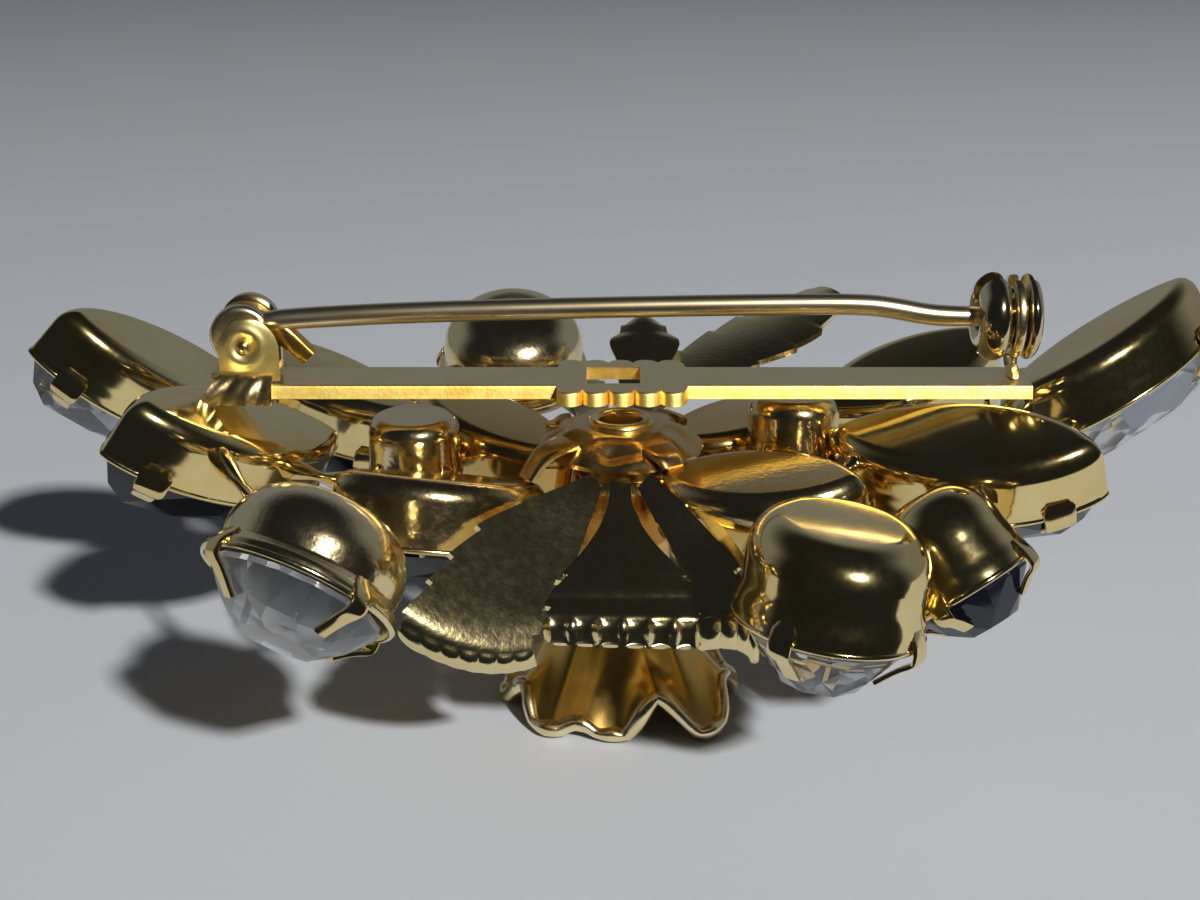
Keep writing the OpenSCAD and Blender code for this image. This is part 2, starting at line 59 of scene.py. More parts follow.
# Columns: kind, centre, way the outer end points, how much it is raised, how much rolled, stone
SETTINGS = {
    "far_left": (LARGE, (-26.0, 6.8, 16.3), 217.1, 32.6, -24.4, "clear"),
    "left": (LARGE, (-20.35, -1.0, 15.15), 227.7, 20.9, -25, "black"),
    "front_left": (ROUND, (-13.7, -14.15, 14.7), 240, 47.5, 0, "clear"),
    "inner_left": (INNER, (-9.1, -5.3, 13.0), 195, 10, 14, "black"),
    "front_right": (DEEP, (9.55, -14.0, 13.55), 218, 9.5, 0, "clear"),
    "dark_right": (DARK, (15.15, -9.8, 13.1), -38, 42, 0, "black"),
    "right": (LARGE, (17.15, -4.05, 15.3), -24.1, 5, 20.7, "black"),
    "far_right": (LARGE, (27.1, 6.4, 17.3), 21.5, 26.8, -15, "clear"),
    "inner_right": (INNER, (6.9, -5.4, 13.5), -20, 6, 10, "black"),
    "back_middle": (ROUND, (-6.4, 15.9, 15.7), 97, 21, 0, "clear"),
    "back_left": (LARGE, (-17.4, 11.8, 13.5), 150, 14, 0, "black"),
    "back_right": (LARGE, (17.4, 13.2, 13.6), 25, 14, 14, "black"),
    "inner_back_left": (INNER, (-7.1, 4.3, 13.2), 145, 12, 0, "black"),
    "inner_back_right": (INNER, (6.8, 4.8, 13.1), 30, 6, 0, "black"),
    "little_left": (LITTLE, (-10.9, 0.3, 14.6), 180, 0, 0, "clear"),
    "little_right": (LITTLE, (9.1, 0.5, 15.5), -90, 8, 0, "clear"),
}
CUP_WALL, RIM_ROLL, CUP_STEPS = 0.38, 0.16, 96
# The way that a leaning cup's back goes down, in the cup's own frame
LEAN_WAY = (0.62, 0.79)


def outline(kind, inset, steps, start=0.0):
    """Closed outline, drawn in by inset: x = half_l cos t, y = half_w sin t |sin t| ** point."""
    t = 2 * np.pi * (np.arange(steps) + start) / steps
    x = (kind["half_l"] - inset) * np.cos(t)
    y = (kind["half_w"] - inset) * np.sin(t) * np.abs(np.sin(t)) ** kind["point"]
    return np.stack([x, y], -1)


def turned(points, setting):
    """Points of a setting's frame on the brooch: rolled on X, raised on Y, turned on Z, then moved."""
    _, centre, heading, tilt, roll, _ = setting
    h, t, r = np.radians([heading, -tilt, roll])
    about_z = np.array([[np.cos(h), -np.sin(h), 0], [np.sin(h), np.cos(h), 0], [0, 0, 1]])
    about_y = np.array([[np.cos(t), 0, np.sin(t)], [0, 1, 0], [-np.sin(t), 0, np.cos(t)]])
    about_x = np.array([[1, 0, 0], [0, np.cos(r), -np.sin(r)], [0, np.sin(r), np.cos(r)]])
    return points @ (about_z @ about_y @ about_x).T + np.array(centre)


def solid(name, parts, crease=40):
    """Mesh object from closed parts (points in mm, quads): coincident points are merged, so that poles
    close, and each part is wound so that its volume, a sum of tetrahedra to the origin, is positive."""
    points, faces, count = [], [], 0
    for p, f in parts:
        a, b, c, d = (p[f[:, k]] for k in range(4))
        volume = (np.cross(a, b) * c).sum() + (np.cross(a, c) * d).sum()
        faces.append((f if volume > 0 else f[:, ::-1]) + count)
        points.append(p * MM)
        count += len(p)
    mesh = bpy.data.meshes.new(name)
    mesh.from_pydata(np.concatenate(points).tolist(), [], np.concatenate(faces).tolist())
    shape = bmesh.new()
    shape.from_mesh(mesh)
    bmesh.ops.remove_doubles(shape, verts=shape.verts, dist=1e-7)
    shape.to_mesh(mesh)
    shape.free()
    mesh.shade_smooth()
    mesh.set_sharp_from_angle(angle=radians(crease))
    piece = bpy.data.objects.new(name, mesh)
    bpy.context.collection.objects.link(piece)
    return piece


def grid(points, loop_rows=False):
    """A closed part from rows of points: each row is a loop, and each cell between two rows is a quad."""
    rows, cols = points.shape[:2]
    r = np.arange(rows if loop_rows else rows - 1)[:, None] * cols
    below = (r + cols) % (rows * cols)
    c = np.arange(cols)[None, :]
    beside = (c + 1) % cols
    quads = np.stack([r + c, r + beside, below + beside, below + c], -1)
    return points.reshape(-1, 3), quads.reshape(-1, 4)


def cup(kind):
    """Profile (inset, height, share of the outline) swept round the outline: a faintly domed back, its
    broad edge as a quarter ellipse (both sheared by lean), the wall drawn in a little before it widens in
    a half cosine to a small rolled rim, then the inside."""
    top, edge, knee = kind["depth"] / 2, kind["edge"], kind["knee"]
    taper = 0.12 * edge
    spread = np.sqrt(np.linspace(0, 1, 9))
    turn = np.radians(np.linspace(0, 90, 19)[1:])
    fall = np.linspace(0, 1, 13)[1:]
    widen = 0.5 - 0.5 * np.cos(np.pi * np.clip((fall - 0.5) / 0.5, 0, 1))
    drawn = taper + (kind["flare"] - taper) * np.clip(fall / 0.5, 0, 1)
    roll = np.radians(np.linspace(60, -150, 10))
    # In order: back, edge, wall, rolled rim, inside of the wall, inside of the back
    inset = np.concatenate([
        np.full(len(spread), edge), edge - 0.88 * edge * np.sin(turn), drawn * (1 - widen) + 0.05 * widen,
        0.12 - RIM_ROLL * np.cos(roll),
        [CUP_WALL, CUP_WALL + taper, 0.2 * edge + 0.4, 0.5 * edge + 0.3], np.full(4, edge + 0.25)])
    height = np.concatenate([
        top + 0.03 * edge * (1 - spread ** 2), top - knee * (1 - np.cos(turn)),
        top - knee + (knee + 0.4 - 2 * top) * fall, 0.13 - top + RIM_ROLL * np.sin(roll),
        [0.4 - top, top - knee - 0.1, top - 0.58 * knee - 0.3, top - 0.18 * knee - 0.42],
        np.full(4, top - CUP_WALL)])
    share = np.concatenate([spread, np.ones(len(inset) - len(spread) - 3), [0.66, 0.33, 0]])
    rows = np.stack([np.column_stack([outline(kind, i, CUP_STEPS) * s, np.full(CUP_STEPS, h)])
                     for i, h, s in zip(inset, height, share)])
    back = rows[:len(spread) + len(turn)]
    back[..., 2] -= kind.get("lean", 0) * (LEAN_WAY[0] * back[..., 0] + LEAN_WAY[1] * back[..., 1])
    return grid(rows)


def link(tree, kind, into, socket, output=0, **values):
    """A node of that kind with its values set, one of its outputs wired into a socket."""
    node = tree.nodes.new(kind)
    for key, value in values.items():
        if key in node.inputs:
            node.inputs[key].default_value = value
        else:
            setattr(node, key, value)
    tree.links.new(node.outputs[output], into.inputs[socket])
    return node


# Colour sockets of a Mix node: the two it mixes, and its result
MIX_A, MIX_B, MIX_RESULT = 6, 7, 2
# Painted shade towards the brooch's middle: its tint, and the distances in metres from the middle where
# it is full and where it ends
PAINTED_SHADE_TINT, PAINTED_SHADE_FULL, PAINTED_SHADE_END = (0.62, 0.46, 0.24, 1), 0.013, 0.024
# How deep a pit is, times the scale of the pits
PIT_DEPTH = 0.048


def plated(name, colour, deep, rough, streak=(1, 1, 1), clouds=260, grain=0.12, pit=12000, painted_shade=0.0):
    """Gold plate: its colour drifts towards a deeper tone in soft clouds, and fine pits and hair
    scratches, stretched by streak, change its surface and its gloss a little. Towards the middle of the
    brooch its colour is darkened by painted shade, as much as the share given for it."""
    material = bpy.data.materials.new(name)
    material.use_nodes = True
    tree = material.node_tree
    shader = tree.nodes["Principled BSDF"]
    shader.inputs["Metallic"].default_value = 1.0
    # Painted shade: a darker tint multiplied into the colour towards the middle of the brooch
    painted_shade_mix = link(tree, "ShaderNodeMix", shader, "Base Color", MIX_RESULT, data_type="RGBA",
                blend_type="MULTIPLY")
    painted_shade_mix.inputs[MIX_B].default_value = PAINTED_SHADE_TINT
    mix = link(tree, "ShaderNodeMix", painted_shade_mix, MIX_A, MIX_RESULT, data_type="RGBA")
    mix.inputs[MIX_A].default_value = (*colour, 1)
    mix.inputs[MIX_B].default_value = (*deep, 1)
    ramp = link(tree, "ShaderNodeMapRange", mix, 0)
    ramp.inputs["From Min"].default_value = 0.42
    ramp.inputs["From Max"].default_value = 0.9
    cloud = link(tree, "ShaderNodeTexNoise", ramp, "Value", Scale=clouds, Detail=4.0)
    place = link(tree, "ShaderNodeTexCoord", cloud, "Vector", "Object")
    # How near the brooch's middle a point is, which sets the painted shade
    near = link(tree, "ShaderNodeMapRange", painted_shade_mix, 0, interpolation_type="SMOOTHSTEP")
    near.inputs["From Min"].default_value = PAINTED_SHADE_END
    near.inputs["From Max"].default_value = PAINTED_SHADE_FULL
    near.inputs["To Max"].default_value = painted_shade
    far = link(tree, "ShaderNodeVectorMath", near, "Value", "Value", operation="LENGTH")
    tree.links.new(place.outputs["Object"], far.inputs[0])
    gloss = link(tree, "ShaderNodeMapRange", shader, "Roughness")
    gloss.inputs["From Min"].default_value = 0.3
    gloss.inputs["From Max"].default_value = 0.8
    gloss.inputs["To Min"].default_value = rough
    gloss.inputs["To Max"].default_value = rough + 0.05
    scratch = link(tree, "ShaderNodeTexNoise", gloss, "Value", Scale=2400.0, Detail=3.0)
    stretch = link(tree, "ShaderNodeMapping", scratch, "Vector", Scale=streak)
    tree.links.new(place.outputs["Object"], stretch.inputs["Vector"])
    bump = link(tree, "ShaderNodeBump", shader, "Normal", Strength=grain, Distance=PIT_DEPTH / pit)
    pits = link(tree, "ShaderNodeTexNoise", bump, "Height", Scale=pit, Detail=2.0)
    tree.links.new(place.outputs["Object"], pits.inputs["Vector"])
    return material


def finished(piece, material, body="root", replaces=()):
    """Gives a piece its material and slot, fixes it to its body, and lets it stand for CAD nodes."""
    piece.data.materials.append(material)
    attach(piece, body)
    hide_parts(*replaces)
    return piece


# The cups' gold, darkened towards the brooch's middle by painted shade
cup_gold = plated("cup_gold", (0.95, 0.78, 0.38), (0.86, 0.6, 0.2), 0.09, grain=0.1, painted_shade=0.8)
# Rougher, more pitted gold for some cups; its paler colour is painted highlight where they catch the key
# light
worn_highlight_gold = plated("worn_highlight_gold", (0.95, 0.81, 0.47), (0.86, 0.64, 0.27), 0.13, grain=1.0, pit=4500, painted_shade=0.6)
WORN_HIGHLIT_CUPS = ("front_left", "back_middle", "inner_left", "inner_right", "little_left", "little_right")
for name, setting in SETTINGS.items():
    points, faces = cup(setting[0])
    piece = solid("cup_" + name, [(turned(points, setting), faces)])
    finished(piece, worn_highlight_gold if name in WORN_HIGHLIT_CUPS else cup_gold, replaces=["setting_frame"])

# Prongs: four flat brass fingers on each cup, cut from the cup's own rim. Each runs up the outside of
# the wall, turns over the rim with a soft knee and is pressed down on the stone's crown.
PRONG_ANGLES, PRONG_THICK = (45, 135, 225, 315), 0.13
# The stone inside the cup: its gap to the wall, how much further in its girdle is and how far it stands
# past the rim, and how far in its table lies, as a share of the half width
STONE_GAP, GIRDLE_IN, GIRDLE_HIGH, TABLE_IN = 0.08, 0.1, 0.25, 0.48


def rounded(points, times=3):
    """Corner cutting: each inner corner gives way to points a quarter and three quarters along."""
    p = np.asarray(points, float)
    for _ in range(times):
        q = np.stack([0.75 * p[:-1] + 0.25 * p[1:], 0.25 * p[:-1] + 0.75 * p[1:]], 1).reshape(-1, p.shape[1])
        p = np.concatenate([p[:1], q[1:-1], p[-1:]])
    return p


def carried(path, across, half_w, half_t, power=0.35, steps=16):
    """Flat strip: a superellipse, x = half_w cos, y = half_t sin, both to a power, carried along a path
    with its width kept along across, and closed by a pole at each end."""
    path = np.asarray(path, float)
    along = np.gradient(path, axis=0)
    across = np.broadcast_to(np.asarray(across, float), path.shape)
    thin = np.cross(along, across)
    thin /= np.linalg.norm(thin, axis=1, keepdims=True)
    t = 2 * np.pi * np.arange(steps) / steps
    x = np.sign(np.cos(t)) * np.abs(np.cos(t)) ** power
    y = np.sign(np.sin(t)) * np.abs(np.sin(t)) ** power
    half_w = np.broadcast_to(half_w, len(path))[:, None, None]
    half_t = np.broadcast_to(half_t, len(path))[:, None, None]
    rows = path[:, None] + half_w * x[:, None] * across[:, None] + half_t * y[:, None] * thin[:, None]
    ends = [np.repeat(path[k][None, None], steps, 1) for k in (0, -1)]
    return grid(np.concatenate([ends[0], rows, ends[1]]))


def crown_height(kind, inset):
    """How far the crown stands out past the rim at that inset: a straight slope up to the table."""
    low, table = CUP_WALL + STONE_GAP + GIRDLE_IN, CUP_WALL + STONE_GAP + kind["half_w"] * TABLE_IN
    return GIRDLE_HIGH + (kind["crown"] - GIRDLE_HIGH) * (inset - low) / (table - low)


def prong(kind, angle):
    """Strip in the upright plane through the wall's normal: wall, knee at the rim, slope of the crown."""
    c, s = np.cos(np.radians(angle)), np.sin(np.radians(angle))
    foot = np.array([kind["half_l"] * c, kind["half_w"] * s * abs(s) ** kind["point"]])
    out = np.array([kind["half_w"] * c * (1 + kind["point"]), kind["half_l"] * s])
    out /= np.linalg.norm(out)
    reach, rim = kind["half_w"] * 0.36, -kind["depth"] / 2
    end = -0.3 - crown_height(kind, reach)
    # How far out from the wall and up from the rim, from the foot to the tip
    side = [(-kind["flare"], 1.0), (0.1 - 0.7 * kind["flare"], 0.7), (0.13, 0.2), (0.16, -0.3),
            (-0.02, -0.55), (-0.4 * reach, -0.33 + 0.4 * (end + 0.3)), (-reach, end)]
    line = rounded(side)
    path = np.column_stack([foot + line[:, :1] * out, rim + line[:, 1]])
    share = np.linspace(0, 1, len(path))
    width = kind["prong"] * np.interp(share, [0, 0.12, 0.5, 1], [0.35, 0.5, 0.48, 0.34])
    return carried(path, (-out[1], out[0], 0), width, PRONG_THICK, 0.5)


for name, setting in SETTINGS.items():
    parts = []
    for angle in PRONG_ANGLES:
        points, faces = prong(setting[0], angle + setting[0]["turn"])
        parts.append((turned(points, setting), faces))
    finished(solid("prongs_" + name, parts), cup_gold, replaces=["setting_frame"])

# Glass stones: cut glass with a flat table, two rows of facets and a narrowing back, held by the prongs.
# Clear ones are silvered behind and throw the light back, and jet black ones only mirror the room.
GLASS_IOR = 1.56


def smeared(name, colour, gloss, scale, settings):
    """Shader with some of its values set by name, whose roughness drifts between two values in smears."""
    material = bpy.data.materials.new(name)
    material.use_nodes = True
    tree = material.node_tree
    shader = tree.nodes["Principled BSDF"]
    shader.inputs["Base Color"].default_value = (*colour, 1)
    for key, value in settings.items():
        shader.inputs[key].default_value = value
    drift = link(tree, "ShaderNodeMapRange", shader, "Roughness")
    drift.inputs["To Min"].default_value, drift.inputs["To Max"].default_value = gloss
    smear = link(tree, "ShaderNodeTexNoise", drift, "Value", Scale=scale)
    link(tree, "ShaderNodeTexCoord", smear, "Vector", "Object")
    return material


def cut_stone(name, setting):
    """Smallest convex solid round six rings of points: the table, the ridge between its two rows of
    facets, set half a step round, both edges of the girdle, and two rings of the narrowing back."""
    kind = setting[0]
    top, gap = kind["depth"] / 2, CUP_WALL + STONE_GAP
    table = kind["half_w"] * TABLE_IN
    ridge = GIRDLE_HIGH + (kind["crown"] - GIRDLE_HIGH) * 0.6
    # Columns: inset, height, count of points, share of a step that the ring is turned
    rings = [(gap + table, -top - kind["crown"], 8, 0.5),
             (gap + table * 0.52, -top - ridge, 8, 0.0),
             (gap + GIRDLE_IN, -top - GIRDLE_HIGH, 16, 0.0),
             (gap + GIRDLE_IN, -top, 16, 0.0),
             (gap + GIRDLE_IN + 0.12 * kind["edge"], top - kind["knee"] - 0.25, 16, 0.0),
             (kind["half_w"] * 0.6, top - CUP_WALL - 0.5, 8, 0.5)]
    points = np.concatenate([np.column_stack([outline(kind, i, n, start), np.full(n, z)])
                             for i, z, n, start in rings])
    shape = bmesh.new()
    for p in turned(points, setting) * MM:
        shape.verts.new(p)
    bmesh.ops.convex_hull(shape, input=shape.verts)
    bmesh.ops.dissolve_limit(shape, angle_limit=radians(1), verts=shape.verts, edges=shape.edges)
    girdle = turned(np.array([[0, 0, -top]]), setting)[0] * MM
    up = turned(np.array([[0, 0, 1 - top]]), setting)[0] * MM - girdle
    up /= np.linalg.norm(up)
    for face in shape.faces:
        behind = (np.array(face.calc_center_median()) - girdle) @ up
        face.material_index = int(behind > 0)
    mesh = bpy.data.meshes.new(name)
    shape.to_mesh(mesh)
    shape.free()
    piece = bpy.data.objects.new(name, mesh)
    bpy.context.collection.objects.link(piece)
    return piece


clear_glass = smeared("clear_stone", (0.97, 0.98, 1.0), (0.0, 0.05), 500.0,
                      {"Transmission Weight": 1.0, "IOR": GLASS_IOR})
silver_foil = smeared("silver_foil", (0.93, 0.94, 0.95), (0.05, 0.2), 900.0, {"Metallic": 0.7})
black_glass = smeared("black_stone", (0.006, 0.007, 0.014), (0.02, 0.12), 500.0, {"IOR": GLASS_IOR})
# Face, back and slot of each glass
STONES = {"clear": (clear_glass, silver_foil, "clear_glass"),
          "black": (black_glass, black_glass, "black_glass")}
for name, setting in SETTINGS.items():
    face, back, slot = STONES[setting[5]]
    piece = cut_stone("cut_stone_" + name, setting)
    finished(piece, face, replaces=["stone_" + name])
    piece.data.materials.append(back)

# Solder: beads that run into the corner where two cups touch, and short struts of it where they don't.
# Bright where it flowed, a little lumpy, plated over with the rest.
JOINED = (("far_left", "back_left"), ("far_left", "left"), ("left", "inner_left"),
          ("front_left", "inner_left"), ("front_left", "left"), ("inner_left", "little_left"),
          ("little_left", "inner_back_left"), ("back_left", "inner_back_left"),
          ("back_middle", "back_left"), ("front_right", "inner_right"), ("front_right", "dark_right"),
          ("dark_right", "right"), ("right", "inner_right"), ("right", "little_right"),
          ("little_right", "inner_back_right"), ("inner_back_right", "back_right"),
          ("far_right", "right"), ("far_right", "back_right"))


def wall_points(setting):
    """Points on a cup's wall at five heights."""
    kind = setting[0]
    heights = np.linspace(0.8 - kind["depth"] / 2, kind["depth"] / 2 - 0.9, 5)
    rings = [np.column_stack([outline(kind, 0, 48), np.full(48, z)]) for z in heights]
    return turned(np.concatenate(rings), setting)


def bead(a, b):
    """Strip between the nearest points of two walls, thick at its ends and waisted between them."""
    p, q = wall_points(SETTINGS[a]), wall_points(SETTINGS[b])
    apart = np.linalg.norm(p[:, None] - q[None], axis=2)
    i, j = np.unravel_index(apart.argmin(), apart.shape)
    start, end = p[i], q[j]
    way = (end - start) / max(np.linalg.norm(end - start), 1e-6)
    across = np.cross(way, (0, 0, 1))
    across /= np.linalg.norm(across)
    share = np.linspace(-0.25, 1.25, 13)[:, None]
    reach = max(np.linalg.norm(end - start), 0.5)
    path = (start + end) / 2 + (share - 0.5) * reach * way
    swell = 0.42 + 0.16 * np.cos(2 * np.pi * share[:, 0])
    swell[[0, -1]] *= 0.5
    return carried(path, across, swell, swell * 1.1, 1.0)


beads = solid("solder_beads", [bead(a, b) for a, b in JOINED])
finished(beads, cup_gold, replaces=["setting_frame"])

# Hub: a stamped brass disc with a hole, soldered on the cups round it by four straps. Its edge is drawn
# down and it has a dent at the front. Its deep amber is painted shade and painted reflection of the gold
# round it.
HUB_RADIUS, HUB_LOW, HOLE = 4.3, 15.2, 1.4
# The disc's section, from the hole over the top to the edge and back under
HUB_RADII = (HOLE, HOLE + 0.08, 1.9, 2.4, 2.8, 3.2, 3.6, 4.0, HUB_RADIUS, 4.3, 4.0, 3.2, 2.2, HOLE)
HUB_HEIGHTS = (15.75, 15.88, 15.9, 15.87, 15.78, 15.6, 15.35, 15.05, 14.75, 14.6, 14.7, 15.1, HUB_LOW, 15.3)
HUB_ROWS, HUB_UPPER_ROWS, FLUTES, FLUTE_DEPTH, DENT_DEPTH = 66, 42, 9, 0.09, 0.3
# Painted shade and painted reflection: a deep amber gold for the hub, its straps and the hinge's foot
amber_shade_gold = plated("amber_shade_gold", (0.85, 0.66, 0.32), (0.7, 0.42, 0.12), 0.22, grain=1.0, pit=5000,
                    painted_shade=0.55)


def hub_disc():
    """Disc of revolution with a hole, its edge drawn down. On top are shallow flutes, a cosine round the
    disc, and the dent, a bell curve in x and y."""
    corners = np.arange(len(HUB_RADII))
    along = np.linspace(0, corners[-1], HUB_ROWS)
    radius, height = np.interp(along, corners, HUB_RADII), np.interp(along, corners, HUB_HEIGHTS)
    t = np.linspace(0, 2 * np.pi, 128, endpoint=False)
    x, y = radius[:, None] * np.cos(t), radius[:, None] * np.sin(t)
    z = np.broadcast_to(height[:, None], x.shape)
    upper = (np.arange(HUB_ROWS) < HUB_UPPER_ROWS)[:, None]
    dent = np.exp(-((x + 0.1) / 1.05) ** 4 - ((y + 3.35) / 0.5) ** 2)
    flute = FLUTE_DEPTH * np.cos(FLUTES * t) * np.clip(radius - 2.2, 0, 1)[:, None]
    return grid(np.stack([x, y, z + upper * (flute - DENT_DEPTH * dent)], -1), loop_rows=True)


def strap(name):
    """Flat strap from the disc's edge down to the near end of a cup's back."""
    setting = SETTINGS[name]
    kind = setting[0]
    end = turned(np.array([[1.3 - kind["half_l"], 0, kind["depth"] / 2 + 0.12]]), setting)[0]
    way = end[:2] / np.linalg.norm(end[:2])
    start = np.array([*(way * 3.4), HUB_LOW + 0.3])
    knee = np.array([*(way * (np.linalg.norm(end[:2]) * 0.4 + 2.6)), HUB_LOW + 0.15])
    path = rounded([start, knee, end])
    return carried(path, (-way[1], way[0], 0), np.linspace(0.9, 0.6, len(path)), 0.22, 0.5)


STRAPPED = ("inner_left", "inner_right", "inner_back_left", "inner_back_right")
piece = solid("hub_disc", [hub_disc()] + [strap(name) for name in STRAPPED])
finished(piece, amber_shade_gold, replaces=["setting_frame"])

# Leaves: one stamped brass plate, riveted under the hub, with its leaves bent out of it. Each is a thin
# sheet with saw teeth cut in its sides, and the front ones end in a turned-down lip of pressed cells.
LEAF_THICK, TOOTH, PLATE_THICK = 0.4, 0.34, 0.7
leaf_gold = plated("leaf_gold", (0.95, 0.81, 0.44), (0.86, 0.68, 0.3), 0.13, grain=1.0, pit=5000)


def sheet(points, thickness):
    """Thin plate on a grid of points, half its thickness to each side along the grid's normals, its
    four edges closed."""
    u, v = np.gradient(points, axis=0), np.gradient(points, axis=1)
    normal = np.cross(u, v)
    normal /= np.linalg.norm(normal, axis=2, keepdims=True) + 1e-12
    half = normal * thickness / 2
    loop = np.concatenate([points + half, (points - half)[:, ::-1]], 1)
    ends = [np.concatenate([points[k], points[k][::-1]])[None] for k in (0, -1)]
    return grid(np.concatenate([ends[0], loop, ends[1]]))


def through(points, share):
    """Smooth curve through points: corner-cut polyline read at shares of its length."""
    p = rounded(points, 3)
    far = np.concatenate([[0], np.cumsum(np.linalg.norm(np.diff(p, axis=0), axis=1))])
    return np.stack([np.interp(share * far[-1], far, p[:, k]) for k in range(3)], -1)


def stamped_leaf(left, right, bulge, teeth=(5, 4), cells=0, lip=0.12, relief=0.26, rows=120, cols=112):
    """Sheet ruled from a left edge to a right edge, both smooth curves from root to tip, its middle
    pushed out by bulge. The edges move in and out as a saw wave of their own count of teeth. The last
    part is a lip whose cells are pressed in by relief (or out where it is negative), as |sin| across to
    the power 0.6 times the root of sin along."""
    u = np.linspace(0, 1, rows)
    v = np.linspace(0, 1, cols)[None, :]
    a, b = through(left, u)[:, None], through(right, u)[:, None]
    swell = (4 * v * (1 - v))[..., None] * (u ** 1.5)[:, None, None] * np.array(bulge)
    points = a + v[..., None] * (b - a) + swell
    across = (b - a) / (np.linalg.norm(b - a, axis=2, keepdims=True) + 1e-9)
    fade = np.clip(u * 5 - 1, 0, 1) * np.clip((1 - lip - u) * 30, 0, 1)
    for side, count, near in ((-1, teeth[0], (1 - v) ** 7), (1, teeth[1], v ** 7)):
        saw = (u / (1 - lip) * count + 0.2 * np.sin(9 * u)) % 1
        points = points + side * (TOOTH * (saw - 0.5) * fade)[:, None, None] * near[..., None] * across
    if cells:
        down = np.gradient(points, axis=0)
        face = np.cross(down, np.broadcast_to(across, points.shape))
        face /= np.linalg.norm(face, axis=2, keepdims=True) + 1e-9
        along = np.clip((u - 1 + lip) / lip, 0, 1)
        press = np.sqrt(np.sin(np.pi * along))[:, None] * np.abs(np.sin(np.pi * cells * v)) ** 0.6
        points = points - relief * press[..., None] * face
    return points


# Each leaf: left edge, right edge, bulge, teeth of each side, cells, share of its length in the lip, relief
front = stamped_leaf([(-0.6, -4.5, 14.3), (-0.6, -5.3, 13.9), (-0.75, -6.2, 13.1), (-1.9, -8.1, 12.0),
                      (-2.9, -9.6, 11.15), (-3.45, -10.3, 10.75), (-3.5, -10.5, 10.5), (-3.65, -11.6, 10.05),
                      (-3.65, -11.85, 9.75), (-3.6, -11.85, 9.3), (-3.6, -11.8, 8.9)],
                     [(0.4, -4.5, 14.3), (0.45, -5.3, 13.95), (0.5, -6, 13.4), (1.3, -7.5, 12.5),
                      (3.0, -9.5, 11.2), (3.75, -10.2, 10.7), (3.8, -10.4, 10.45), (3.6, -11.5, 9.9),
                      (3.6, -11.75, 9.6), (3.6, -11.75, 9.1), (3.55, -11.7, 8.6)],
                     (0, -0.25, 0.1), (3, 3), 6, 0.14)
slant_left = stamped_leaf([(-1.6, -4.3, 14.5), (-3.6, -6.0, 14.3), (-5.9, -7.6, 14.0), (-7.5, -9.6, 13.4),
                           (-9.1, -12.0, 12.1), (-10.1, -13.4, 11.3), (-10.3, -13.5, 10.6),
                           (-10.2, -13.4, 10.1), (-9.95, -13.0, 9.6)],
                          [(-1.0, -4.9, 14.0), (-1.8, -6.8, 12.6), (-2.5, -8.5, 11.4), (-3.6, -10.1, 10.6),
                           (-3.95, -11.2, 9.9), (-4.3, -12.0, 9.1), (-4.35, -12.3, 8.7), (-4.3, -12.2, 8.3),
                           (-4.2, -11.8, 7.9)],
                          (0.1, -0.4, -0.6), (6, 2), 7, 0.09, -0.13)
slant_right = stamped_leaf([(1.5, -4.3, 14.6), (3.3, -6.6, 13.7), (4.6, -8.4, 12.9), (5.6, -9.8, 11.8),
                            (6.1, -10.7, 10.4), (6.3, -11.2, 9.3), (6.3, -11.3, 8.7), (6.3, -11.2, 7.6)],
                           [(0.8, -4.9, 14.0), (2.3, -7.6, 12.2), (3.2, -9.2, 10.8), (3.5, -10.4, 10.2),
                            (3.6, -11.2, 9.9), (3.6, -11.45, 9.6), (3.6, -11.45, 9.2), (3.6, -11.4, 8.5)],
                           (0.5, 0.1, 0.4), (3, 3), 4, 0.14)
back_middle = stamped_leaf([(-0.1, 4.0, 13.9), (0.2, 8.5, 15.0), (-0.3, 11.0, 16.0), (-0.6, 12.4, 16.6),
                            (0.2, 13.0, 16.8), (0.3, 13.2, 16.9), (0.4, 14.0, 17.2), (1.1, 14.6, 17.3)],
                           [(1.2, 4.0, 13.9), (2.6, 8.5, 15.0), (3.3, 11.0, 16.0), (3.7, 12.4, 16.6),
                            (2.8, 13.0, 16.8), (2.7, 13.2, 16.9), (2.6, 14.0, 17.2), (1.9, 14.6, 17.3)],
                           (0, 0, 0.3), (2, 2), lip=0)
back_right = stamped_leaf([(0.1, 4.5, 13.9), (1.0, 8.7, 14.8), (3.5, 12.5, 16.0), (8.5, 16.5, 17.5),
                           (12.4, 18.2, 18.3)],
                          [(1.3, 4.1, 13.9), (3.2, 7.9, 14.6), (7.3, 10.0, 15.6), (11.5, 11.9, 16.8),
                           (13.9, 16.0, 18.2)],
                          (0, 0, 0.3), (7, 6), lip=0)
back_left = stamped_leaf([(-1.6, 4.0, 13.9), (-2.6, 6.6, 14.3), (-4.9, 9.4, 15.0), (-4.8, 10.6, 15.2)],
                         [(-0.5, 4.0, 13.9), (-0.6, 7.0, 14.3), (-1.0, 10.2, 15.0), (-2.4, 11.2, 15.3)],
                         (0, 0, 0.3), (4, 4), lip=0)
leaves = (front, slant_left, slant_right, back_middle, back_right, back_left)
# The flat plate in the middle, from which the leaves are bent
strip = np.stack(np.meshgrid(np.linspace(-4.8, 4.8, 12), np.linspace(-1.5, 1.5, 6), indexing="ij"), -1)
strip = np.concatenate([strip[..., ::-1], np.full(strip.shape[:2] + (1,), 14.0)], -1)
piece = solid("leaf_sheets", [sheet(leaf, LEAF_THICK) for leaf in leaves] + [sheet(strip, PLATE_THICK)])
finished(piece, leaf_gold, replaces=["leaf_plate"])
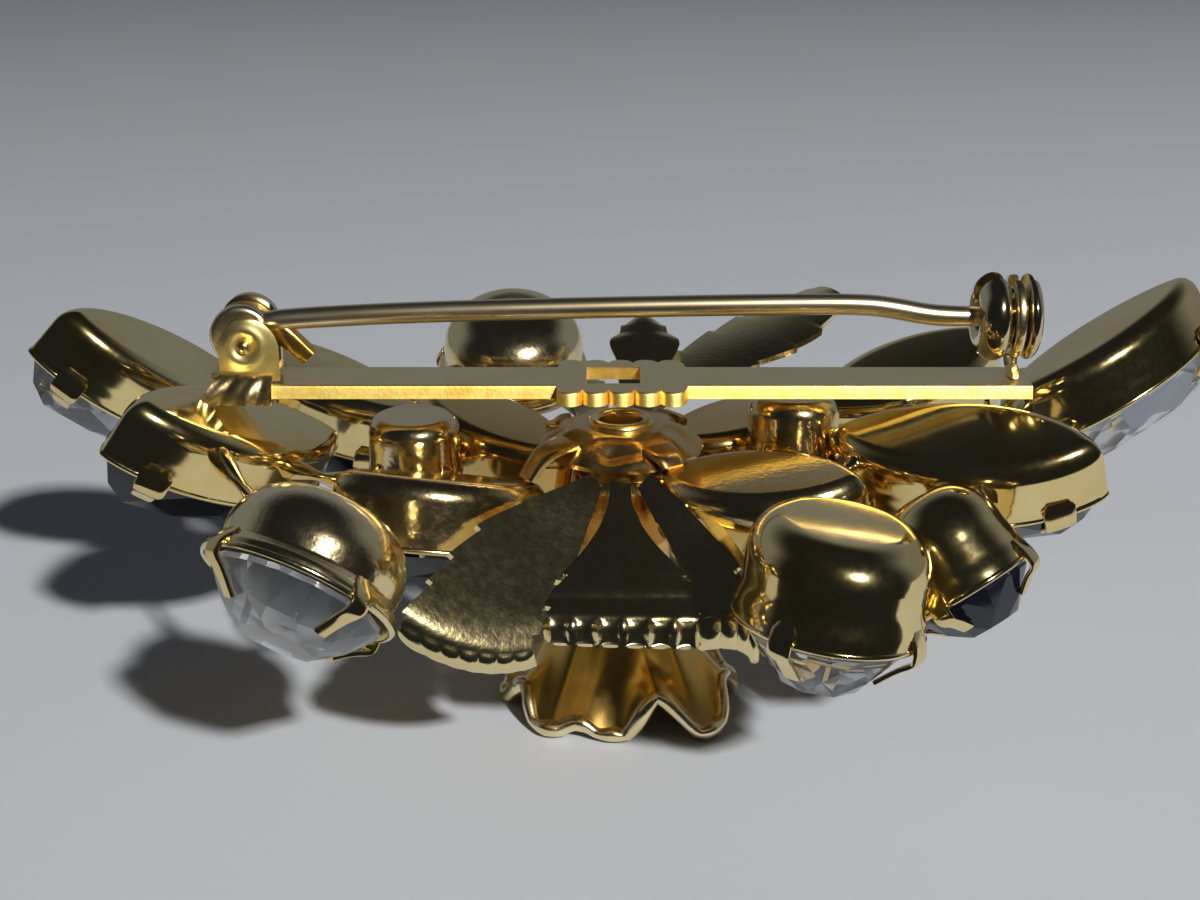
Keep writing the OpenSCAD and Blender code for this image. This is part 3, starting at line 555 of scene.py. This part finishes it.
# The right front leaf's outer edge, bent up to the light: rough cut gold whose bright yellow is painted
# highlight
cut_highlight_gold = plated("cut_highlight_gold", (1.0, 0.76, 0.22), (0.8, 0.46, 0.06), 0.48, clouds=1500, grain=1.0, pit=6000)
bent_edge = rounded([(3.0, -5.9, 14.1), (4.0, -7.2, 13.6), (5.1, -8.7, 12.7), (6.0, -9.9, 11.8)])
edge_width = np.interp(np.linspace(0, 1, len(bent_edge)), [0, 0.5, 1], [0.1, 0.42, 0.3])
piece = solid("leaf_bent_edge", [carried(bent_edge, (0.84, 0.35, -0.1), edge_width, 0.1)])
finished(piece, cut_highlight_gold, replaces=["leaf_plate"])

# Flower: a trumpet of sheet brass, riveted under the leaves, narrow at its neck and ruffled at the rim,
# whose lip rolls outward. It is the lowest piece and carries the brooch. Its deep amber wall, darkest at
# the neck under the leaves, is painted shade and painted reflection of the gold leaves above it.
FLOWER_HIGH, FLOWER_WALL, FLOWER_MOUTH, NECK_SHADE_LOW = 13.4, 0.5, 1.45, 9.5
# Columns: angle, radius and height of the rim there; lobes stand on the table, arches between them
RUFFLE = np.array([(-131, 6.3, 0), (-113, 5.5, 0.7), (-94, 5.6, 0), (-70, 5.4, 2.3), (-47, 6.9, 0),
                   (-20, 5.8, 1.9), (10, 6.3, 0), (40, 5.6, 1.7), (70, 6.2, 0), (100, 5.5, 1.7),
                   (130, 6.2, 0), (158, 5.6, 1.5), (185, 6.3, 0), (207, 5.7, 1.7), (229, 6.3, 0)])
# Painted reflection and painted shade: a deep amber gold for the flower and the pin's tang
flower_shade_gold = plated("flower_shade_gold", (0.92, 0.6, 0.16), (0.78, 0.38, 0.05), 0.2, grain=0.5)


def trumpet():
    """Surface of revolution whose rim follows the ruffle table, eased by half cosines between its rows,
    and whose wall takes a share of it, growing to the rim. Outside, round the lip, and back inside."""
    height = np.array([13.4, 13.0, 11.2, 9.4, 7.8, 6.2, 4.6, 3.2, 2.2, 1.4, 0.8, 0.35])
    radius = np.array([2.3, 2.55, 2.6, 2.6, 2.7, 3.0, 3.6, 4.3, 4.9, 5.4, 5.8, 6.1])
    ruffle = np.array([0, 0, 0, 0, 0.05, 0.15, 0.35, 0.55, 0.72, 0.86, 0.95, 1])
    height, radius, ruffle = rounded(np.column_stack([height, radius, ruffle]), 2).T
    t = np.linspace(-131, 229, 288, endpoint=False)
    row = np.searchsorted(RUFFLE[:, 0], t, side="right") - 1
    ease = (t - RUFFLE[row, 0]) / (RUFFLE[row + 1, 0] - RUFFLE[row, 0])
    ease = (0.5 - 0.5 * np.cos(np.pi * ease))[:, None]
    _, reach, lift = (RUFFLE[row] * (1 - ease) + RUFFLE[row + 1] * ease).T
    t = np.radians(t)
    r = radius[:, None] + (reach - 6.1) * ruffle[:, None]
    z = height[:, None] + lift * ruffle[:, None] ** 2
    outside = np.stack([r * np.cos(t), r * np.sin(t), z], -1)
    along, around = np.gradient(outside, axis=0), np.gradient(outside, axis=1)
    normal = np.cross(along, around)
    normal /= np.linalg.norm(normal, axis=2, keepdims=True)
    inward = np.sign((((0, 0, 0.5) - outside * (1, 1, 0)) * normal).sum(2, keepdims=True).mean())
    inside = outside + normal * inward * FLOWER_WALL
    inside[:3, :, 2] = np.minimum(inside[:3, :, 2], FLOWER_HIGH - FLOWER_WALL)
    inside[..., 2] = np.maximum(inside[..., 2], 0)
    level = np.full(len(t), FLOWER_HIGH)
    mouth = np.stack([FLOWER_MOUTH * np.cos(t), FLOWER_MOUTH * np.sin(t), level], -1)[None]
    under = mouth - (0, 0, FLOWER_WALL)
    lip = ((outside[-1:] + inside[-1:]) / 2) * (1.02, 1.02, 1)
    wall = grid(np.concatenate([mouth, outside, lip, inside[::-1], under]), loop_rows=True)
    return wall, rolled(lip[0] - (0, 0, 0.02))


def rolled(rim):
    """Round bead on a closed rim: a circle in the plane of the ways out and up, its size drifting in two
    slow waves along the rim."""
    along = np.roll(rim, -1, axis=0) - np.roll(rim, 1, axis=0)
    along /= np.linalg.norm(along, axis=1, keepdims=True)
    out = rim * (1, 1, 0)
    out = out - (out * along).sum(1, keepdims=True) * along
    out /= np.linalg.norm(out, axis=1, keepdims=True)
    share = 2 * np.pi * np.arange(len(rim)) / len(rim)
    size = (0.4 + 0.06 * np.sin(9 * share) + 0.04 * np.sin(23 * share))[None, :, None]
    a = np.linspace(0, 2 * np.pi, 14, endpoint=False)[:, None, None]
    middle = np.maximum(rim, (-99, -99, 0.51)) + 0.12 * out
    return grid(middle + size * (np.cos(a) * out + np.sin(a) * np.cross(out, along)), loop_rows=True)


lip_gold = plated("lip_gold", (0.97, 0.84, 0.52), (0.86, 0.66, 0.26), 0.2, clouds=700, grain=0.8, pit=6000)
# Painted shade: a darker amber for the flower's neck, under the leaves
neck_shade_gold = plated("neck_shade_gold", (0.62, 0.3, 0.06), (0.42, 0.16, 0.02), 0.2, clouds=700, grain=0.9, pit=5000)
flower_wall, flower_lip = trumpet()
piece = solid("ruffled_flower", [flower_wall], 60)
finished(piece, flower_shade_gold, replaces=["flower"])


def partly(piece, material, attribute, test):
    """Gives a second material to the faces whose centre or normal passes a test."""
    values = np.empty(3 * len(piece.data.polygons))
    piece.data.polygons.foreach_get(attribute, values)
    piece.data.materials.append(material)
    piece.data.polygons.foreach_set("material_index", test(values.reshape(-1, 3)).astype(np.int32))


# Painted shade: faces above that height, at the neck under the leaves, take the darker gold
partly(piece, neck_shade_gold, "center", lambda c: c[:, 2] > NECK_SHADE_LOW * MM)
finished(solid("flower_lip", [flower_lip]), lip_gold, replaces=["flower"])

# Centre rivet: a brass tube through the hub, leaf plate and flower, rolled over into a round lip at
# each end. It is open right through.
RIVET_BORE, RIVET_LIP = 1.1, 1.75


def tube_rivet():
    """Tube of revolution with a half-round lip at each end."""
    a = np.radians(np.linspace(180, -20, 9))
    middle, bead_r = (RIVET_BORE + RIVET_LIP) / 2, (RIVET_LIP - RIVET_BORE) / 2
    top = np.column_stack([middle + bead_r * np.cos(a), 15.95 + 0.3 * np.sin(a)])
    low = np.column_stack([middle + bead_r * np.cos(-a[::-1]), 12.62 - 0.28 * np.sin(a[::-1])])
    profile = np.concatenate([[[RIVET_BORE, 14.0]], top, [[1.34, 15.9], [1.34, 12.7]], low])
    t = np.linspace(0, 2 * np.pi, 64, endpoint=False)
    r, z = profile[:, :1], np.repeat(profile[:, 1:], 64, 1)
    return grid(np.stack([r * np.cos(t), r * np.sin(t), z], -1), loop_rows=True)


finding_gold = plated("finding_gold", (0.9, 0.7, 0.32), (0.82, 0.56, 0.18), 0.22, grain=0.4)
finished(solid("tube_rivet", [tube_rivet()]), finding_gold, replaces=["centre_rivet"])

# Pin bar: flat brass strip with a scalloped middle and a square hole, punched from sheet, so that its
# long edges lean a little and keep the rough face of the cut, whose brighter yellow is painted highlight.
# It lies on the backs of two cups.
BAR_HALF_L, BAR_HALF_W, BAR_LOW, BAR_HIGH = 21.0, 1.8, 17.75, 18.45
# The hole's left, right, near and far edges
BAR_HOLE = (-1.8, 1.0, -1.3, 1.6)
# Half length of the scalloped middle, how far out its scallops' centres lie, and their radius
SCALLOPED, SCALLOP_OUT, SCALLOP_R = 3.3, 2.44, 0.66
bar_gold = plated("bar_gold", (0.94, 0.78, 0.4), (0.86, 0.66, 0.27), 0.27, streak=(0.08, 1, 1), grain=0.1)


def bar_side(x):
    """How far the bar reaches to each side at x: five half circles in the middle, straight beyond."""
    nearest = (x + SCALLOPED - 1e-9) % (2 * SCALLOP_R) - SCALLOP_R
    scallop = SCALLOP_OUT + np.sqrt(np.maximum(SCALLOP_R ** 2 - nearest ** 2, 0))
    return np.where(np.abs(x) < SCALLOPED, scallop, BAR_HALF_W)


def bar_length(start, end, front=None, back=None, steps=160):
    """Closed part of the bar between two stations. Its section is a rectangle whose outer edges lean in
    by 0.2 to the top with a small rounding; front and back, where given, are the upright hole's edges."""
    x = start + (end - start) * (0.5 - 0.5 * np.cos(np.pi * np.linspace(0, 1, steps)))
    side = bar_side(np.clip(x, start + 1e-4, end - 1e-4))
    rise = np.array([0, 0.04, 0.35, 0.8, 0.94, 1.0, 1.0])
    lean = np.array([0.06, 0.0, 0.07, 0.15, 0.19, 0.25, 0.3])
    size, ease = (steps, len(rise)), 0.02 * (rise == 1)
    near = -side[:, None] + lean if front is None else np.full(size, front) - ease
    far = side[:, None] - lean if back is None else np.full(size, back) + ease
    y = np.concatenate([near, far[:, ::-1]], 1)
    z = BAR_LOW + (BAR_HIGH - BAR_LOW) * np.concatenate([rise, rise[::-1]])
    rows = np.stack([np.repeat(x[:, None], len(z), 1), y, np.repeat(z[None], steps, 0)], -1)
    ends = [np.repeat(rows[k].mean(0)[None, None], len(z), 1) for k in (0, -1)]
    return grid(np.concatenate([ends[0], rows, ends[1]]))


left, right, near, far = BAR_HOLE
piece = solid("scalloped_bar", [bar_length(-BAR_HALF_L, left), bar_length(left, right, back=near),
                                bar_length(left, right, front=far), bar_length(right, BAR_HALF_L)])
finished(piece, bar_gold, replaces=["pin_bar"])
# Painted highlight: the bar's upright edges get the brighter, rough cut gold
partly(piece, cut_highlight_gold, "normal", lambda n: np.abs(n[:, 2]) < 0.7)

# Hinge: a bracket bent from brass strip and soldered on the bar, with two round-topped ears. The near ear
# is shorter and domed, with a dimple pressed in at the rivet. The foot spreads over the bar's front edge.
HINGE_X, HINGE_Z, RIVET_Z = -19.5, 20.65, 20.4
# Columns: middle in x, half width, top, place in y, foot, dome, thickness
NEAR_EAR = (-19.0, 1.5, 21.75, -1.12, 18.6, 0.22, 0.3)
FAR_EAR = (-19.25, 1.5, 22.6, 1.05, 18.6, 0, 0.45)


def ear(x, half, top, y, foot, dome, thickness):
    """Plate with a round top, ruled from its left to its right edge, row by row from the foot up to the
    top; it bulges by dome in a bell curve, and a dimple is pressed in round the rivet."""
    rise = np.linspace(0, 1, 40)
    turn = np.clip((rise - 0.5) / 0.5, 0, 1) * np.pi / 2
    z = np.where(rise < 0.5, foot + (top - half - foot) * rise / 0.5, top - half + half * np.sin(turn))
    wide = half * np.where(rise < 0.5, 1.0, np.maximum(np.cos(turn), 0.02))
    v = np.linspace(-1, 1, 32)
    px = x + wide[:, None] * v
    pz = np.broadcast_to(z[:, None], px.shape)
    swell = dome * (1 - v[None, :] ** 2) * np.sin(np.pi * np.clip(rise * 0.9 + 0.1, 0, 1))[:, None]
    far = np.hypot(px - (x - 0.2), pz - RIVET_Z)
    dimple = np.exp(-(far / 0.5) ** 2) - 0.25 * np.exp(-((far - 0.85) / 0.2) ** 2)
    return sheet(np.stack([px, y - swell + 0.3 * bool(dome) * dimple, pz], -1), thickness)


def hinge_foot():
    """Apron in front of the bar: ruled from a short upper edge to a long lumpy lower edge, and rolled
    forward over the bar's front edge in a quarter turn. The lumps are two slow cosines."""
    u = np.linspace(0, 1, 24)[:, None]
    v = np.linspace(0, 1, 60)[None, :]
    left = -20.4 - 1.2 * u
    x = left + (-17.8 - left) * v
    lumps = 0.1 * u * np.cos(3.4 * np.pi * v) + 0.04 * u * np.cos(8 * np.pi * v + 3 * u)
    y = -1.35 - 0.75 * np.sin(u * np.pi / 2) - lumps
    z = 18.9 - 1.35 * u ** 1.4 + 0.2 * lumps
    return sheet(np.stack([x, y, z], -1), 0.25)


# Painted light: the near ear gets a brighter, more yellow gold than the far ear
lit_gold = plated("lit_gold", (1.0, 0.84, 0.36), (0.94, 0.66, 0.16), 0.33, grain=0.3)
near_ear = solid("hinge_near_ear", [ear(*NEAR_EAR)])
finished(near_ear, lit_gold, replaces=["hinge_bracket"])
# Painted shade: the far ear, and the catch's tube below, get a dimmer, paler gold
shaded_gold = plated("shaded_gold", (0.85, 0.76, 0.5), (0.7, 0.55, 0.26), 0.08, grain=0.1)
far_ear = solid("hinge_far_ear", [ear(*FAR_EAR)])
finished(far_ear, shaded_gold, replaces=["hinge_bracket"])
pad = rounded([(-21.0, 0, 18.78), (-20, 0, 18.7), (-18.6, 0, 18.7), (-17.9, 0, 18.72)])
foot = solid("hinge_foot", [hinge_foot(), carried(pad, (0, 1, 0), 1.25, 0.18, 0.5)])
# The foot's amber gold is painted shade and painted reflection, as on the hub
finished(foot, amber_shade_gold, replaces=["hinge_bracket"])


def domed_rivet():
    """Round bar of revolution along Y with a small ball head in front and a flat domed head behind."""
    y = np.array([-1.68, -1.66, -1.58, -1.46, -1.32, -1.2, -1.1, 1.3, 1.32, 1.45, 1.56, 1.62])
    r = np.array([0, 0.16, 0.3, 0.38, 0.38, 0.3, 0.3, 0.42, 0.75, 0.7, 0.45, 0])
    lift = np.array([RIVET_Z] * 7 + [HINGE_Z] * 5)
    t = np.linspace(0, 2 * np.pi, 40, endpoint=False)
    x = HINGE_X + 0.3 * (y < 0)[:, None] + r[:, None] * np.cos(t)
    return grid(np.stack([x, np.repeat(y[:, None], 40, 1), lift[:, None] + r[:, None] * np.sin(t)], -1))


finished(solid("domed_rivet", [domed_rivet()]), finding_gold, replaces=["hinge_rivet"])

# Pin: polished steel wire with thin gold plate. It starts in a flattened eye on the rivet, runs over in
# one long bend, dips before the catch and ends in a point. A short tang hangs from it beside the eye.
# Columns: x, z and share of the wire's thickness to each side
STEM_LINE = ((-19.3, 21.05, 0.45), (-18.4, 21.3, 0.5), (-17, 21.55, 0.5), (-10, 21.9, 0.5), (0, 22.15, 0.5),
             (9, 22.3, 0.5), (12.4, 22.28, 0.5), (13.9, 22.1, 0.5), (15.6, 21.75, 0.5), (16.9, 21.65, 0.5),
             (18.8, 21.65, 0.46), (20.0, 21.65, 0.34), (21.2, 21.65, 0.06))
WIRE, EYE = 1.1, 1.65
wire_steel = plated("wire_steel", (0.96, 0.83, 0.56), (0.86, 0.66, 0.32), 0.24, streak=(0.05, 1, 1),
                    grain=0.3)


def pin_eye():
    """Flat ring of revolution about the rivet, its rim rounded."""
    a = np.radians(np.linspace(-90, 90, 9))
    outer = np.column_stack([EYE - 0.3 + 0.3 * np.cos(a), 0.25 * np.sign(a) + 0.3 * np.sin(a)])
    profile = np.concatenate([[[0.5, -0.5]], outer, [[0.5, 0.5]]])
    t = np.linspace(0, 2 * np.pi, 48, endpoint=False)
    r, y = profile[:, :1], np.repeat(profile[:, 1:], 48, 1)
    return grid(np.stack([HINGE_X + r * np.cos(t), y, HINGE_Z + r * np.sin(t)], -1), loop_rows=True)


line = rounded(STEM_LINE, 3)
path = np.column_stack([line[:, 0], np.zeros(len(line)), line[:, 1]])
stem = carried(path, (0, 1, 0), line[:, 2] * WIRE, line[:, 2] * WIRE, 1.0, 32)
piece = solid("pin_wire", [stem, pin_eye()])
finished(piece, wire_steel, "pin_stem", ["pin_stem"])
tang_path = rounded([(-18.3, 0, 21.35), (-17.4, 0, 20.75), (-16.7, 0, 20.1), (-16.1, 0, 19.5)])
tang = carried(tang_path, (0, 1, 0), 0.44, np.linspace(0.62, 0.5, len(tang_path)), 0.6)
# The tang's amber gold is painted shade, as on the flower
finished(solid("pin_tang", [tang]), flower_shade_gold, "pin_stem", ["pin_stem"])

# Catch: a bent strip that rises from the bar into a ring, and a slotted tube that turns in it, drawn out
# to a fat rounded flange at each side. Turned, the tube closes over the wire. Pressed and turned brass.
CATCH_Z, CATCH_SLOT = 21.65, 1.25


def slotted(profile, steps=72):
    """Closed profile (x, radius) carried round the X axis from one wall of the slot to the other. The
    walls are parallel: each radius starts where its sine times the radius is half the slot."""
    x, r = profile[:, :1], profile[:, 1:]
    gap = np.arcsin(CATCH_SLOT / 2 / r)
    t = gap + (2 * np.pi - 2 * gap) * np.linspace(0, 1, steps)
    rows = np.stack([x + 0 * t, r * np.sin(t), CATCH_Z + r * np.cos(t)], -1).transpose(1, 0, 2)
    middles = rows[[0, -1]].mean(1, keepdims=True) + 0 * rows[[0, -1]]
    return grid(np.concatenate([middles[:1], rows, middles[1:]]))


def closed(points):
    """Closed outline with its corners cut round."""
    p = np.asarray(points, float)
    for _ in range(2):
        after = np.roll(p, -1, axis=0)
        p = np.stack([0.75 * p + 0.25 * after, 0.25 * p + 0.75 * after], 1).reshape(-1, 2)
    return p


ring = closed([(19.85, 1.56), (19.82, 2.1), (20.1, 2.16), (20.38, 2.1), (20.35, 1.56)])
upright = rounded([(20.3, 0, 18.5), (20.3, 0, 18.8), (20.15, 0, 19.15), (20.1, 0, 19.7)])
post_width = np.linspace(0.7, 1.0, len(upright))
post_thick = np.interp(np.linspace(0, 1, len(upright)), [0, 0.4, 1], [0.24, 0.28, 0.2])
post = carried(upright, (0, 1, 0), post_width, post_thick, 0.5)
finished(solid("catch_hook", [slotted(ring), post]), lip_gold, replaces=["catch_post"])
# Outlines (x, radius) of the tube's two halves, which overlap under the ring
left_flange = closed([(18.5, 0.72), (18.1, 1.1), (18.15, 1.75), (18.8, 2.3), (19.5, 2.2), (19.76, 1.5),
                      (20.2, 1.46), (20.2, 0.72)])
right_flange = closed([(20.0, 0.72), (20.0, 1.46), (20.44, 1.5), (20.55, 2.1), (20.85, 2.24), (21.2, 1.95),
                       (21.35, 1.2), (21.2, 0.72)])
piece = solid("catch_tube", [slotted(left_flange), slotted(right_flange)])
# The tube's dimmer gold is painted shade
finished(piece, shaded_gold, "catch_roller", ["catch_roller"])

# Floor, light and camera: a pale matt table, a warm key light from the front right, and a dim room that
# is lighter behind the brooch and dark overhead, seen from where the photo was taken.
FLOOR_CORNERS = [(-3, -0.024, 0), (3, -0.024, 0), (3, 4, 0), (-3, 4, 0)]
TARGET, DISTANCE, ELEVATION = (-1.1, 0.0, 14.35), 88.0, 20.0
floor_mesh = bpy.data.meshes.new("floor")
floor_mesh.from_pydata(FLOOR_CORNERS, [], [(0, 1, 2, 3)])
table_top = bpy.data.objects.new("floor", floor_mesh)
bpy.context.collection.objects.link(table_top)
pale = bpy.data.materials.new("pale_floor")
pale.use_nodes = True
pale.node_tree.nodes["Principled BSDF"].inputs["Base Color"].default_value = (0.5, 0.53, 0.58, 1)
pale.node_tree.nodes["Principled BSDF"].inputs["Roughness"].default_value = 0.8
floor_mesh.materials.append(pale)


def area_light(name, towards, distance, size, power, colour):
    """Square light that shines on the brooch from a direction, at a distance in metres."""
    data = bpy.data.lights.new(name, "AREA")
    data.size, data.energy, data.color = size, power, colour
    lamp = bpy.data.objects.new(name, data)
    bpy.context.collection.objects.link(lamp)
    way = np.array(towards, float)
    way /= np.linalg.norm(way)
    lamp.location = way * distance + np.array([0, 0, 0.012])
    pitch = np.arccos(way[2])
    lamp.rotation_euler = (pitch, 0, np.arctan2(way[0], -way[1]))


area_light("key", (0.5, -0.95, 0.8), 0.9, 0.05, 11.0, (1.0, 0.97, 0.92))

room = bpy.data.worlds.new("room")
bpy.context.scene.world = room
room.use_nodes = True
sky = room.node_tree.nodes["Background"]
shade = link(room.node_tree, "ShaderNodeMix", sky, "Color", MIX_RESULT, data_type="RGBA")
shade.inputs[MIX_A].default_value = (0.012, 0.013, 0.016, 1)
shade.inputs[MIX_B].default_value = (0.165, 0.18, 0.21, 1)
share = link(room.node_tree, "ShaderNodeMath", shade, 0, operation="MULTIPLY")
behind = link(room.node_tree, "ShaderNodeMapRange", share, 0, interpolation_type="SMOOTHSTEP")
behind.inputs["From Min"].default_value = -0.25
behind.inputs["From Max"].default_value = 0.3
low = link(room.node_tree, "ShaderNodeMapRange", share, 1, interpolation_type="SMOOTHSTEP")
low.inputs["From Min"].default_value = 0.85
low.inputs["From Max"].default_value = 0.45
way = link(room.node_tree, "ShaderNodeSeparateXYZ", behind, "Value", "Y")
room.node_tree.links.new(way.outputs["Z"], low.inputs["Value"])
link(room.node_tree, "ShaderNodeTexCoord", way, "Vector")
bpy.context.scene.view_settings.view_transform = "Standard"

camera_data = bpy.data.cameras.new("camera")
camera_data.lens = 50
camera_data.sensor_width = 36
camera_data.clip_start = 0.005
camera = bpy.data.objects.new("camera", camera_data)
bpy.context.collection.objects.link(camera)
pitch = radians(ELEVATION)
back = np.array([0, -np.cos(pitch), np.sin(pitch)])
camera.location = (np.array(TARGET) + DISTANCE * back) * MM
camera.rotation_euler = (radians(90 - ELEVATION), 0, 0)
bpy.context.scene.camera = camera
